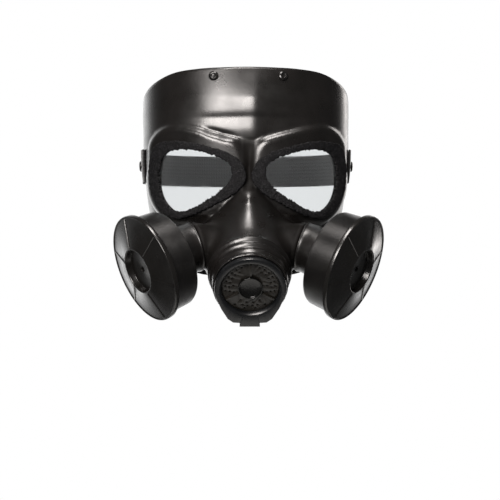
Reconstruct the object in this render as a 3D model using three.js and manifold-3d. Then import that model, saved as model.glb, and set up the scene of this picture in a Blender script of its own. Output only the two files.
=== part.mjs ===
import * as THREE from "three";
import { mergeVertices } from "three/addons/utils/BufferGeometryUtils.js";
import Module from "manifold-3d";

const wasm = await Module();
wasm.setup();

// Driving sizes in mm. The head stands at the origin, eyes at z 0, and looks along -Y.
const half_width = 88.5;          // widest half breadth, at the temples
const brow_depth = 87;            // from the turning axis of the band to the forehead
const axis_y = -20;               // turning axis of the forehead band
const top_height = 85;            // upper edge at the middle
const chin_drop = 90;             // lower edge of the band at the middle, hidden by the cup
const wrap_angle = 101;           // how far the band runs round each side, degrees
const wall = 2;                   // soft shell
const gap = 0.3;                  // between neighbouring pieces
const fold_depth = 2.2;           // level groove across the forehead
const fold_height = 44;
const keel = 2.4;                 // upright crease in the middle of the forehead
const lens_x = 0.478 * half_width; // centre of an eye opening, from the front
const lens_z = -8.3;
const lens_radius = 0.3424 * half_width; // eye opening, from its centre to the outer side
const goggle_front = brow_depth - axis_y + 2; // how far forward the goggle plates stand
const goggle_back = 0.506 * brow_depth; // how far they fall back at the widest line
const lens_sheet = 0.8;
const gasket_height = 3;
const cup_tilt = 32;              // mouth cup looks this far down, degrees
const cup_front_y = -goggle_front - 44.4; // middle of the valve's front plane
const cup_front_z = -99.1;
const cup_radius = 33.6;          // at its root
const cup_length = 27;            // from the valve's front plane to the root
const nose_length = 60;           // from the cup's root back to the goggle plates
const nose_radius = 0.38 * half_width; // what its sections are shares of at the back
const valve_radius = 29.1;
const grille_radius = 23;
const grille_sink = 4;            // how deep the plate lies behind the valve's front
const grille_thick = 2.8;
const hole_radius = 0.85;
const boss_radius = 10.1;
const tab_width = 16;
const port_x = 0.493 * half_width; // middle of the side port's face
const port_y = -goggle_front - 3;
const port_z = -64.1;
const collar_radius = 21;
const collar_wall = 2.5;
const port_bore = collar_radius - 6;
const canister_x = port_x + 41.9; // middle of the canister's front rim
const canister_y = port_y - 25;
const canister_z = port_z - 17.9;
const canister_radius = 45;
const canister_length = 26;
const pocket_radius = 18.5;
const cone_rise = 6.5;            // pocket's rim above the canister's front rim
const eyelet_radius = 4.2;
const strap_width = 28;
const strap_thick = 1.5;
const strap_z = 4.7;
const head_back = 99;             // strap's rearmost line
const rad = Math.PI / 180;

// Level sections of the band: height as a share of top height, share of half width, share of
// depth, roundness.
const sections = [
  [1.412, 0.955, 0.78, 2.3],
  [1.012, 0.985, 0.885, 2.3],
  [0.729, 1.0, 0.955, 2.3],
  [0.565, 1.003, 0.972, 2.35],
  [0.4, 1.0, 1.003, 2.45],
  [0.235, 0.998, 0.985, 2.6],
  [-0.024, 0.985, 0.942, 2.8],
  [-0.353, 0.945, 0.93, 2.6],
  [-0.706, 0.885, 0.91, 2.35],
  [-1.118, 0.8, 0.86, 2.3],
  [-1.529, 0.72, 0.8, 2.3],
];
// Upper and lower edge by turning angle: angle, share of top height, share of chin drop.
const edges = [
  [0, 1.0, -1],
  [18, 0.994, -0.978],
  [30, 0.985, -0.967],
  [45, 0.955, -0.889],
  [60, 0.875, -0.733],
  [74, 0.785, -0.578],
  [86, 0.71, -0.456],
  [101, 0.64, -0.378],
  [115, 0.6, -0.333],
];
// Eye opening, foam band and goggle plate as radii round the opening's centre:
// angle from the outer side, then radii as shares of the opening's outer radius.
const outlines = [
  [0, 1.0, 1.277, 1.35],
  [20, 1.043, 1.35, 1.41],
  [40, 1.08, 1.45, 1.67],
  [60, 0.934, 1.215, 1.66],
  [80, 0.802, 1.013, 1.42],
  [100, 0.752, 0.934, 1.3],
  [120, 0.756, 0.957, 1.34],
  [140, 0.848, 1.096, 1.48],
  [160, 0.97, 1.25, 1.38],
  [180, 0.9, 1.25, 1.3],
  [200, 0.74, 1.075, 1.2],
  [220, 0.657, 0.911, 1.07],
  [240, 0.627, 0.852, 1.02],
  [260, 0.677, 0.885, 1.05],
  [280, 0.822, 1.023, 1.18],
  [300, 1.007, 1.224, 1.34],
  [320, 1.033, 1.274, 1.37],
  [340, 1.01, 1.274, 1.36],
];
// Nose and mouth sections behind the cup's root: distance back as a share of nose length, then
// half width, height above and height below as shares of the radius, and roundness.
const snout = [
  [0, 1.0, 0.985, 1.0, 2.0],
  [0.267, 1.1, 0.98, 0.98, 1.8],
  [0.533, 1.21, 1.09, 0.95, 1.45],
  [0.767, 1.3, 1.27, 0.92, 1.32],
  [1, 1.36, 1.48, 0.9, 1.3],
];
// Ridges of the mouth cup: distance behind the valve's front plane as a share of cup length,
// then radius as a share of the cup's radius.
const cup_ridges = [
  [1, 1.0],
  [0.941, 1.012],
  [0.852, 0.955],
  [0.763, 0.962],
  [0.704, 0.975],
  [0.637, 0.925],
  [0.463, 0.9],
  [0.304, 0.885],
  [0.244, 0.91],
  [0.17, 0.875],
];
// Holes of the grille's side groups and of its lower group: row radius, holes, span, middle.
const side_holes = [[20.3, 7, 78, 150], [17, 6, 72, 157], [13.8, 2, 26, 186]];
const low_holes = [[20.6, 4, 74, 270], [17.7, 4, 40, 270], [14.4, 4, 64, 270]];

const clamp = (v, a, b) => Math.min(b, Math.max(a, v));
// Smooth reading of a table: the first column is the key, falling or rising.
function read(table, key, loop = 0) {
  const n = table.length, rising = table[n - 1][0] > table[0][0];
  const at = (i) => loop ? table[((i % n) + n) % n] : table[clamp(i, 0, n - 1)];
  const key_at = (i) => at(i)[0] + (loop ? Math.floor(i / n) * loop : 0);
  let i = 0;
  const last = loop ? n - 1 : n - 2;
  while (i < last && (rising ? key > key_at(i + 1) : key < key_at(i + 1))) i++;
  const k0 = key_at(i), k1 = key_at(i + 1);
  const t = clamp((key - k0) / (k1 - k0), 0, 1);
  return at(i).slice(1).map((_, c) => {
    const p = [at(i - 1), at(i), at(i + 1), at(i + 2)].map((r) => r[c + 1]);
    const km = key_at(i - 1), kp = key_at(i + 2);
    const m0 = k1 === km ? 0 : (p[2] - p[0]) / (k1 - km) * (k1 - k0);
    const m1 = kp === k0 ? 0 : (p[3] - p[1]) / (kp - k0) * (k1 - k0);
    const t2 = t * t, t3 = t2 * t;
    return (2 * t3 - 3 * t2 + 1) * p[1] + (t3 - 2 * t2 + t) * m0
      + (3 * t2 - 2 * t3) * p[2] + (t3 - t2) * m1;
  });
}
const vec = (x, y, z) => new THREE.Vector3(x, y, z);

// Solids: rows of points joined to a closed skin, and lathes set on an axis.
function to_solid(geometry) {
  const bare = new THREE.BufferGeometry();
  const flat = geometry.index ? geometry.toNonIndexed() : geometry;
  bare.setAttribute("position", flat.getAttribute("position"));
  const merged = mergeVertices(bare, 1e-4);
  const index = merged.index.array, kept = [];
  for (let i = 0; i < index.length; i += 3) {
    const [a, b, c] = [index[i], index[i + 1], index[i + 2]];
    if (a !== b && b !== c && a !== c) kept.push(a, b, c);
  }
  const made = new wasm.Mesh({
    numProp: 3,
    vertProperties: new Float32Array(merged.getAttribute("position").array),
    triVerts: new Uint32Array(kept),
  });
  made.merge();
  const body = new wasm.Manifold(made);
  return body.volume() < 0 ? to_solid(flipped(merged)) : body;
}
function flipped(geometry) {
  const index = Array.from(geometry.index.array);
  for (let i = 0; i < index.length; i += 3) [index[i], index[i + 1]] = [index[i + 1], index[i]];
  geometry.setIndex(index);
  return geometry;
}
// Closed rings of points in order; the ends are closed by a fan, or joined to a loop.
function rings_geometry(rings, looped = false) {
  const points = [], faces = [];
  const n = rings[0].length;
  for (const ring of rings) for (const p of ring) points.push(p.x, p.y, p.z);
  const rows = looped ? rings.length : rings.length - 1;
  for (let r = 0; r < rows; r++) {
    const below = r * n, above = ((r + 1) % rings.length) * n;
    for (let i = 0; i < n; i++) {
      const j = (i + 1) % n;
      faces.push(below + i, below + j, above + j, below + i, above + j, above + i);
    }
  }
  if (!looped) {
    for (const [r, out] of [[0, true], [rings.length - 1, false]]) {
      const mid = points.length / 3;
      const c = rings[r].reduce((s, p) => s.add(p), vec(0, 0, 0)).multiplyScalar(1 / n);
      points.push(c.x, c.y, c.z);
      for (let i = 0; i < n; i++) {
        const a = r * n + i, b = r * n + (i + 1) % n;
        faces.push(mid, out ? b : a, out ? a : b);
      }
    }
  }
  const geometry = new THREE.BufferGeometry();
  geometry.setAttribute("position", new THREE.Float32BufferAttribute(points, 3));
  geometry.setIndex(faces);
  return geometry;
}
const rings = (list, looped) => to_solid(rings_geometry(list, looped));
// A placement with its Z along the given axis and its Y as near to up as it goes.
function frame(origin, axis, up = vec(0, 0, 1)) {
  const z = axis.clone().normalize();
  const x = up.clone().cross(z).normalize();
  const y = z.clone().cross(x);
  return new THREE.Matrix4().makeBasis(x, y, z).setPosition(origin);
}
// Turned solid: pairs of radius and distance along the axis, starting and ending on the axis.
function turned(pairs, segments, place) {
  const lathe = new THREE.LatheGeometry(pairs.map(([r, h]) => new THREE.Vector2(r, h)), segments);
  lathe.rotateX(Math.PI / 2);
  lathe.applyMatrix4(place);
  return to_solid(lathe);
}
const rod = (r, h0, h1, segments, place) =>
  turned([[0, h0], [r, h0], [r, h1], [0, h1]], segments, place);
// Flat outline given a thickness along the placement's axis, between two distances.
function slab(outline, h0, h1, place) {
  const ring = (h) => outline.map(([x, y]) => vec(x, y, h).applyMatrix4(place));
  const shape = new THREE.Shape(outline.map(([x, y]) => new THREE.Vector2(x, y)));
  const plate = new THREE.ExtrudeGeometry(shape, { depth: h1 - h0, bevelEnabled: false });
  plate.translate(0, 0, h0);
  plate.applyMatrix4(place);
  return ring(h0).length ? to_solid(plate) : null;
}
const join = (list) => wasm.Manifold.union(list);
const mirrored = (body) => body.mirror([1, 0, 0]);
const both = (body) => [body, mirrored(body)];

// Forehead band: a level section by angle and height, with the groove and the crease in it.
function band_radius(angle, z) {
  const [width, depth, round] = read(sections, z / top_height);
  const a = half_width * width, b = brow_depth * depth;
  const s = Math.abs(Math.sin(angle)), c = Math.abs(Math.cos(angle));
  let r = ((s / a) ** round + (c / b) ** round) ** (-1 / round);
  const side = Math.abs(angle) / rad;
  const across = clamp((46 - side) / 26, 0, 1);
  r -= fold_depth * across * Math.exp(-(((z - fold_height + side * 0.03) / 3.6) ** 2));
  const upright = clamp((top_height - z) / 26, 0, 1) * clamp((z - 12) / 14, 0, 1);
  return r + keel * upright * Math.exp(-side / 9);
}
function band_point(angle, z, out = 0) {
  const at = (f, h) => {
    const r = band_radius(f, h);
    return vec(r * Math.sin(f), axis_y - r * Math.cos(f), h);
  };
  const p = at(angle, z);
  if (!out) return p;
  const d = 0.02, e = 1.5;
  const across = at(angle + d, z).sub(at(angle - d, z));
  const along = at(angle, z + e).sub(at(angle, z - e));
  return p.add(across.cross(along).normalize().multiplyScalar(out));
}
function edge_heights(angle) {
  const [top, bottom] = read(edges, Math.abs(angle) / rad);
  return [top * top_height, bottom * chin_drop];
}
// Filled band between two turning angles; depth below the skin, and run past the edges.
function band_volume(out, extra) {
  const levels = [56, 48, 44, 40, 31, 12, -8, -28];
  const turn = (wrap_angle + extra * 1.5) * rad;
  const columns = 28, list = [];
  for (let i = 0; i <= columns; i++) {
    const u = -1 + 2 * i / columns;
    const angle = turn * (0.7 * u + 0.3 * u * u * u);
    const [top, bottom] = edge_heights(angle);
    const heights = [top + extra, (top + 56 + extra) / 2, ...levels];
    for (const t of [0.33, 0.67, 1]) heights.push(-28 + (bottom - extra + 28) * t);
    const skin = heights.map((h) => band_point(angle, h, out));
    const ring = [...skin, ...skin.map((p, k) => vec(0, axis_y + extra, heights[k])).reverse()];
    list.push(ring);
  }
  return rings(list);
}

// Goggle plates: curved fronts cut to the plate's outline, with sloping sides.
const tilt_forward = 0.05;
function plate_point(x, z, back = 0) {
  const share = Math.abs(x) / half_width;
  const y = -goggle_front + goggle_back * (0.38 * share ** 2 + 0.62 * share ** 3) - tilt_forward * z;
  const slope = Math.sign(x) * goggle_back * (0.76 * share + 1.86 * share ** 2) / half_width;
  const n = vec(slope, -1, -tilt_forward).normalize();
  return vec(x, y, z).addScaledVector(n, -back);
}
function outline_at(angle, column, grow = 0) {
  const r = read(outlines, (angle / rad + 360) % 360, 360)[column] * lens_radius + grow;
  return [lens_x + r * Math.cos(angle), lens_z + r * Math.sin(angle)];
}
const turns = (count) => Array.from({ length: count }, (_, i) => 2 * Math.PI * i / count);
const middle = 0.6;
// Points of a level ring on the plate, kept on its own side of the middle.
function plate_ring(column, grow, back, count, limit = middle) {
  return turns(count).map((a) => {
    const [x, z] = outline_at(a, column, grow);
    return plate_point(Math.max(x, limit), z, back);
  });
}
function plate_cap(column, grow, back, count, shares, limit) {
  return shares.map((share) => turns(count).map((a) => {
    const [x, z] = outline_at(a, column, grow);
    const px = lens_x + (Math.max(x, limit) - lens_x) * share;
    return plate_point(px, lens_z + (z - lens_z) * share, back);
  }));
}
function goggle_volume(inset) {
  const count = 26, shares = [0.3, 0.6, 0.82, 1];
  const front = plate_cap(2, -2.2 - inset, inset, count, shares, middle + 2 + inset);
  const side = plate_cap(2, 0.8 - inset, inset, count, [1], middle + inset)[0];
  const root = plate_cap(2, 2 - inset, inset, count, [1], middle + inset)[0];
  const list = [...front];
  list.push(side.map((p) => vec(p.x, p.y + 2.2, p.z)));
  list.push(root.map((p) => vec(p.x, p.y + 9, p.z)));
  list.push(root.map((p) => vec(lens_x + (p.x - lens_x) * 0.9, axis_y - 22, p.z)));
  return rings(list);
}
// Straight core through an outline, from well in front of the plate to well behind it.
function outline_core(column, grow, count) {
  const at = (y) => turns(count).map((a) => {
    const [x, z] = outline_at(a, column, grow);
    return vec(x, y, z);
  });
  return rings([at(-goggle_front - half_width / 2), at(axis_y - half_width / 6)]);
}

// Nose, mouth cup and side ports.
const cup_axis = vec(0, -Math.cos(cup_tilt * rad), -Math.sin(cup_tilt * rad));
const cup_front = frame(vec(0, cup_front_y, cup_front_z), cup_axis);
function snout_ring(back, inset, count) {
  const [width, above, below, round] = read(snout, clamp(back / nose_length, 0, 1));
  const radius = cup_radius + (nose_radius - cup_radius) * clamp(back / nose_length, 0, 1);
  const w = width * radius - inset;
  const up = above * radius - inset * 1.15, down = below * radius - inset;
  return turns(count).map((a) => {
    const c = Math.cos(a), s = Math.sin(a);
    const power = s > 0 ? round : 2;
    const x = w * Math.sign(c) * Math.abs(c) ** (2 / power);
    const y = (s > 0 ? up : down) * Math.sign(s) * Math.abs(s) ** (2 / power);
    return vec(x, y, -cup_length - back).applyMatrix4(cup_front);
  });
}
function snout_volume(inset) {
  const steps = [inset ? -1 / nose_length : 0, 0.15, 0.3, 0.47, 0.64, 0.8, 1]
    .map((share) => share * nose_length);
  return rings(steps.map((back) => snout_ring(back, inset, 24)));
}
function cup_volume(inset, reach) {
  const pairs = [[0, -cup_length - 4], [cup_radius - inset, -cup_length - 4]];
  const ridges = cup_ridges.filter((_, k) => !inset || k % 3 === 0);
  for (const [back, share] of ridges) {
    pairs.push([share * cup_radius - inset, -back * cup_length]);
  }
  const mouth = cup_ridges[cup_ridges.length - 1][1] * cup_radius - inset;
  if (reach) pairs.push([mouth, reach]);
  pairs.push([0, reach || -cup_ridges[cup_ridges.length - 1][0] * cup_length]);
  return turned(pairs, 24, cup_front);
}
const port_axis = vec(0.93, -0.26, -0.26).normalize();
const port_face = frame(vec(port_x, port_y, port_z), port_axis);
const canister_axis = vec(0.819, -0.462, -0.342).normalize();
const rim_centre = vec(canister_x, canister_y, canister_z);
const canister = frame(rim_centre, canister_axis);
const port_radius = collar_radius - 1;
function port_volume(inset) {
  const r = port_radius - inset;
  return turned([[0, -18], [r - 4, -18], [r - 1, -7], [r, -inset], [0, -inset]], 20, port_face);
}
function bodies(inset, extra) {
  const list = [band_volume(-inset, extra), snout_volume(inset)];
  list.push(...both(goggle_volume(inset)), ...both(port_volume(inset)));
  list.push(cup_volume(inset, inset ? 20 : 0));
  return join(list);
}
// Below the ports the snout's skin stops short of the chin.
function chin_cut() {
  const level = 2 - chin_drop, under = level - half_width;
  const side = [
    [port_y - 10, under], [port_y + 1, level - 16], [port_y + 12, level - 3],
    [port_y + 30, level], [10, level], [10, under],
  ];
  const place = new THREE.Matrix4().makeBasis(vec(0, 1, 0), vec(0, 0, 1), vec(1, 0, 0));
  return slab(side, -half_width, half_width, place);
}
function hole(radius, place, reach) {
  return rod(radius, -reach, reach, 12, place);
}
function skin_frame(angle, z, out) {
  const p = band_point(angle, z, 0), q = band_point(angle, z, 5);
  const axis = q.clone().sub(p).normalize();
  return frame(p.clone().addScaledVector(axis, out), axis);
}
const eyelet_angle = 20.6 * rad, eyelet_z = top_height - 7.6;
const eyelet = skin_frame(eyelet_angle, eyelet_z, 0);
const strap_turn = 72 * rad;
const strap_rivet = skin_frame(strap_turn + 9 * rad, strap_z, 0);
const shank = 1.5;

const face_shell = bodies(0, 0)
  .subtract(bodies(wall, 8))
  .subtract(join([
    ...both(outline_core(0, 1, 28)), chin_cut(),
    ...both(rod(port_bore, -1.5 * collar_radius, 3 * wall, 20, port_face)),
    ...both(hole(shank + gap, eyelet, 12)), ...both(hole(shank + gap, strap_rivet, 12)),
  ]));

// Clear sheets lie on the plates round each opening; foam bands hold them down.
function lens() {
  const count = 28, shares = [0.4, 0.65, 0.85, 1];
  const front = plate_cap(0, 5, -gap - lens_sheet, count, shares, middle + 4);
  const rear = plate_cap(0, 5, -gap, count, [...shares].reverse(), middle + 4);
  return rings([...front, ...rear]);
}
function gasket() {
  const count = 28, low = -gap, over = -2 * gap - lens_sheet, high = low - gasket_height;
  return rings([
    plate_ring(0, 0, over, count), plate_ring(0, 5 + gap * 2, over, count, middle + 3),
    plate_ring(0, 5 + gap * 2, low, count, middle + 3), plate_ring(1, 0, low, count),
    plate_ring(1, 0, high + 0.6, count), plate_ring(1, -0.7, high, count, middle + 0.6),
    plate_ring(0, 0.7, high, count), plate_ring(0, 0, high + 0.6, count),
  ], true);
}

// Mouth valve: housing with its lower body and tab, sunk plate and bare boss.
function valve_outline() {
  const r = valve_radius, low = -1.1 * r, half = 0.47 * r, list = [];
  for (let a = -12; a <= 192; a += 12) list.push([r * Math.cos(a * rad), r * Math.sin(a * rad)]);
  list.push([-0.81 * r, -0.64 * r], [-0.62 * r, -0.98 * r], [-half, low]);
  list.push([-tab_width / 2, low - 0.4], [-tab_width / 2, low - 4], [tab_width / 2, low - 4]);
  list.push([tab_width / 2, low - 0.4], [half, low], [0.62 * r, -0.98 * r]);
  list.push([0.81 * r, -0.64 * r]);
  return list;
}
const cup_mouth = cup_ridges[cup_ridges.length - 1];
const spigot = cup_mouth[1] * cup_radius - wall - 2 * gap;
const ring_back = -cup_mouth[0] * cup_length + gap;
const valve_ring = slab(valve_outline(), ring_back, 0, cup_front)
  .add(rod(spigot, -12, ring_back + 0.5, 28, cup_front))
  .subtract(turned([
    [0, -grille_sink - grille_thick - gap],
    [grille_radius + gap, -grille_sink - grille_thick - gap],
    [grille_radius + gap, -1.6], [grille_radius + 1.9, 1], [0, 1],
  ], 32, cup_front))
  .subtract(rod(grille_radius - 2, -20, 0, 32, cup_front));
function grille() {
  const cuts = [], bars = [];
  const drill = (r, a) => {
    const p = vec(r * Math.cos(a * rad), r * Math.sin(a * rad), 0);
    const place = cup_front.clone().multiply(new THREE.Matrix4().setPosition(p));
    return rod(hole_radius, -grille_sink - 4, 0, 6, place);
  };
  const rows = (table, turn) => {
    for (const [r, n, span, mid] of table) {
      for (let k = 0; k < n; k++) cuts.push(drill(r, turn(mid + span * (k / (n - 1) - 0.5))));
    }
  };
  rows(side_holes, (a) => a);
  rows(side_holes, (a) => 180 - a);
  rows(low_holes, (a) => a);
  for (const a of [90, 210, 330]) {
    const turn = cup_front.clone().multiply(new THREE.Matrix4().makeRotationZ(a * rad));
    const bar = [[boss_radius + 1, -0.8], [grille_radius - 0.4, -0.8],
      [grille_radius - 0.4, 0.8], [boss_radius + 1, 0.8]];
    bars.push(slab(bar, -grille_sink - 0.5, -grille_sink + 1, turn));
  }
  const plate = rod(grille_radius, -grille_sink - grille_thick, -grille_sink, 32, cup_front);
  return join([plate, ...bars]).subtract(join(cuts));
}
const boss_at = -grille_sink + gap;
const valve_boss = turned([
  [0, boss_at], [boss_radius, boss_at], [boss_radius, boss_at + 2.4], [boss_radius - 0.5, boss_at + 3],
  [boss_radius - 1.2, boss_at + 3], [boss_radius - 1.5, boss_at + 2.3], [0, boss_at + 2.9],
], 20, cup_front);

// Canisters: drum, ribbed front cover and a bent neck to the side port.
const drum = canister_radius - 3.2, back = -canister_length, cover = -3.4;
const canister_body = turned([
  [15, back], [drum - 4, back], [drum - 1.6, back + 2.4], [drum, cover - gap],
  [drum - wall, cover - gap], [drum - 3.6, back + 4.2], [drum - 5, back + wall],
  [15, back + wall], [15, back],
], 28, canister);
function canister_cap() {
  const r = canister_radius, p = pocket_radius, lip = 1.2, hole_r = 2.3;
  const body = turned([
    [hole_r, -1], [p + 1.5, -1], [p + 2.5, cone_rise - 3.4], [r - 4.5, -1.9], [r - 4.5, cover],
    [r, cover], [r, 0], [r - 0.5, 0.6], [r - lip, 0.6], [r - lip - 0.3, -0.1],
    [p + 1.2, cone_rise - 0.4], [p + 0.4, cone_rise], [p - 0.4, 1.5], [hole_r, 1.5], [hole_r, -1],
  ], 30, canister);
  const ribs = [];
  for (let k = 0; k < 6; k++) {
    const turn = canister.clone().multiply(new THREE.Matrix4().makeRotationZ((20 + 60 * k) * rad));
    const rise = (cone_rise - 0.5) / (r - p - 3);
    const ends = [[p + 2, cone_rise - 0.9], [r - lip - 1, -0.2]];
    const side = [-0.9, 0.9];
    const ring = ([x, h]) => [vec(x, side[0], h - 0.5), vec(x, side[1], h - 0.5),
      vec(x, side[1] * 0.6, h + 0.55), vec(x, side[0] * 0.6, h + 0.55)];
    ribs.push(rings(ends.map((e) => ring(e).map((v) => v.applyMatrix4(turn)))));
    if (rise < 0) ribs.pop();
  }
  return join([body, ...ribs]);
}
function neck_collar() {
  const start = vec(port_x, port_y, port_z).addScaledVector(port_axis, gap);
  const end = rim_centre.clone().addScaledVector(canister_axis, back - gap);
  const reach = start.distanceTo(end) * 0.45;
  const path = new THREE.CubicBezierCurve3(
    start, start.clone().addScaledVector(port_axis, reach),
    end.clone().addScaledVector(canister_axis, -reach), end);
  const tube = (radius, from, to) => {
    const list = [];
    for (let k = 0; k <= 3; k++) {
      const t = from + (to - from) * k / 3;
      const place = frame(path.getPoint(clamp(t, 0, 1)), path.getTangent(clamp(t, 0, 1)));
      const over = t < 0 ? t * 10 : t > 1 ? (t - 1) * 10 : 0;
      list.push(turns(22).map((a) =>
        vec(radius * Math.cos(a), radius * Math.sin(a), over).applyMatrix4(place)));
    }
    return rings(list);
  };
  return tube(collar_radius, 0, 1).subtract(tube(collar_radius - collar_wall, -0.2, 1.2));
}

// Eyelets of the forehead, strap and its rivets.
function rivet(radius, place, lift, grip) {
  return turned([
    [0, lift + 0.7], [1.2, lift + 0.7], [radius * 0.5, lift + 1.6], [radius * 0.9, lift + 1],
    [radius, lift], [shank, lift], [shank, -grip], [radius * 0.8, -grip], [0, -grip - 0.9],
  ], 10, place);
}
const forehead_rivet = rivet(eyelet_radius, eyelet, gap, wall + 2 * gap);
function strap() {
  const low = strap_z - strap_width / 2, high = strap_z + strap_width / 2;
  const inner = gap * 2.5, outer = inner + strap_thick;
  const list = [];
  const end = wrap_angle - 1;
  const side = [0, 0.3, 0.62, 1].map((t) => strap_turn / rad + (end - strap_turn / rad) * t);
  const worn = side.map((f) => {
    const angle = f * rad;
    return [low, strap_z, high].map((h) => [band_point(angle, h, inner), band_point(angle, h, outer)]);
  });
  const tail = worn[worn.length - 1][1][0];
  const curve = new THREE.CatmullRomCurve3([
    worn[worn.length - 2][1][0], tail,
    ...[[0.958, 0.202], [0.876, 0.475], [0.684, 0.758], [0.362, 0.944], [0, 1], [-0.362, 0.944]]
      .map(([across, back]) => vec(across * half_width, back * head_back, 0)),
  ].map((p) => vec(p.x, p.y, strap_z)), false, "centripetal");
  const samples = curve.getPoints(42).filter((p) => p.y > tail.y + 3 && p.x > 0.5);
  const normals = samples.map((p, k) => {
    const a = samples[Math.max(0, k - 1)], b = samples[k + 1] || vec(0, head_back, strap_z);
    return vec(b.y - a.y, a.x - b.x, 0).normalize();
  });
  const section = (rows) => [
    ...rows.map((r) => r[0]), ...[...rows].reverse().map((r) => r[1])];
  for (const rows of worn) list.push(section(rows));
  const keep = samples.filter((_, k) => k % 2 === 0);
  const keep_normals = normals.filter((_, k) => k % 2 === 0);
  keep.forEach((p, k) => {
    list.push(section([low, strap_z, high].map((h) => [
      vec(p.x, p.y, h), vec(p.x, p.y, h).addScaledVector(keep_normals[k], strap_thick)])));
  });
  const half = [...list];
  half.push(section([low, strap_z, high].map((h) => [
    vec(0, head_back, h), vec(0, head_back + strap_thick, h)])));
  const other = [...list].reverse().map((ring) => ring.map((p) => vec(-p.x, p.y, p.z)));
  return rings([...half, ...other])
    .subtract(join(both(hole(shank + gap, strap_rivet, 12))));
}
const strap_lift = gap * 2.5 + strap_thick + gap;
const side_rivet = rivet(4.6, strap_rivet, strap_lift, wall + 3 * gap);

// Named pieces with their colours.
const group = new THREE.Group();
group.name = "gas_mask";
function piece(name, body, color, roughness, metalness = 0, opacity = 1) {
  const mesh = body.getMesh();
  const geometry = new THREE.BufferGeometry();
  const points = new Float32Array(mesh.numVert * 3);
  for (let i = 0; i < mesh.numVert; i++) {
    for (let k = 0; k < 3; k++) points[3 * i + k] = mesh.vertProperties[i * mesh.numProp + k];
  }
  geometry.setAttribute("position", new THREE.BufferAttribute(points, 3));
  geometry.setIndex(new THREE.BufferAttribute(new Uint32Array(mesh.triVerts), 1));
  const material = new THREE.MeshStandardMaterial({ color, roughness, metalness });
  if (opacity < 1) Object.assign(material, { opacity, transparent: true });
  const made = new THREE.Mesh(geometry, material);
  made.name = name;
  group.add(made);
}
function pair(name, body, ...look) {
  piece(`${name}_right`, body, ...look);
  piece(`${name}_left`, mirrored(body), ...look);
}
piece("face_shell", face_shell, 0x161616, 0.35);
pair("lens", lens(), 0xd8dde0, 0.05, 0, 0.25);
pair("lens_gasket", gasket(), 0x1c1d1f, 0.9);
piece("valve_ring", valve_ring, 0x1d1e20, 0.45);
piece("valve_grille", grille(), 0x1a1a1b, 0.5);
piece("valve_boss", valve_boss, 0x19191a, 0.4);
pair("neck_collar", neck_collar(), 0x1a1a1b, 0.4);
pair("canister_body", canister_body, 0x1b1b1c, 0.4);
pair("canister_cap", canister_cap(), 0x1e1f20, 0.4);
pair("forehead_rivet", forehead_rivet, 0x101010, 0.2, 0.6);
piece("head_strap", strap(), 0x111112, 0.9);
pair("strap_rivet", side_rivet, 0x101010, 0.2, 0.6);

export default group;
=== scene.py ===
import bmesh
import bpy
import math
import numpy as np
from mathutils import Matrix, Vector, noise


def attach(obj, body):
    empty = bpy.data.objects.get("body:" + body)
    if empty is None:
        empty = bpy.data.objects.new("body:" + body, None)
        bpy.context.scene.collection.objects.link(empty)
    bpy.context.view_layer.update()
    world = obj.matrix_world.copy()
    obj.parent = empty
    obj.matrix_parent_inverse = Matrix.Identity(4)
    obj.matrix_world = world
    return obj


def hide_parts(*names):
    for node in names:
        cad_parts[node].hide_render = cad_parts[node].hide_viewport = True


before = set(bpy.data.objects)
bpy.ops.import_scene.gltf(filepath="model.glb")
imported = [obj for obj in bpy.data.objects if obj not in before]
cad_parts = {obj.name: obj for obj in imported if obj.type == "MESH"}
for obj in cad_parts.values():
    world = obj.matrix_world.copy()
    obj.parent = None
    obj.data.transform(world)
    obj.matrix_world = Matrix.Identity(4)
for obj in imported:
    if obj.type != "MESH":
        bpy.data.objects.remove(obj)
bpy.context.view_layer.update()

# Studio: the camera stands level with the mouth and a little to one side, 1.88 m away with a
# long lens. A large round soft box high on the left, a weaker one overhead and a rim light from
# behind light the black mask, in a white room whose front is dim, over a pale floor.
MM = 0.001


def hex_color(code):
    """An sRGB hex value as a linear colour."""
    channels = [int(code[i:i + 2], 16) / 255 for i in (0, 2, 4)]
    return [c / 12.92 if c <= 0.04045 else ((c + 0.055) / 1.055) ** 2.4 for c in channels] + [1]


def add_node(tree, kind, settings=None, links=None):
    """One node with its settings (properties or sockets) and its links (socket: source)."""
    node = tree.nodes.new(kind)
    for key, value in (settings or {}).items():
        if isinstance(key, str) and hasattr(node, key):
            setattr(node, key, value)
        else:
            node.inputs[key].default_value = value
    for key, source in (links or {}).items():
        tree.links.new(source, node.inputs[key])
    return node


scene = bpy.context.scene
scene.view_settings.view_transform = "Standard"
camera_turn = math.radians(-1.8)
aim = Vector((4.4, 0, -67)) * MM
bpy.ops.object.camera_add(
    location=aim + 1.88 * Vector((math.sin(camera_turn), -math.cos(camera_turn), 0)),
    rotation=(math.pi / 2, 0, camera_turn))
camera = bpy.context.object
camera.data.lens, camera.data.sensor_width = 154.8, 36
scene.camera = camera


def soft_box(name, place, target, width, height, power, spread):
    """A round or oval soft box with a grid that looks from its place at the target."""
    bpy.ops.object.light_add(type="AREA", location=place)
    lamp = bpy.context.object
    lamp.name = name
    lamp.data.shape, lamp.data.size, lamp.data.size_y = "ELLIPSE", width, height
    lamp.data.color = hex_color("fff9f5")[:3]
    lamp.data.energy, lamp.data.spread = power, math.radians(spread)
    lamp.rotation_euler = (Vector(target) - Vector(place)).to_track_quat("-Z", "Y").to_euler()
    return lamp


soft_box("key_light", (-0.5, -1.56, 0.54), (0, -0.08, 0.02), 0.84, 0.84, 12.2, 90)
soft_box("top_light", (-0.1, -0.6, 1.45), (0, -0.12, -0.03), 0.44, 1.0, 3.3, 60)
soft_box("right_rim", (0.95, 1.25, 0.3), (0, -0.1, 0), 0.44, 1.32, 1.2, 90)

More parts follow.
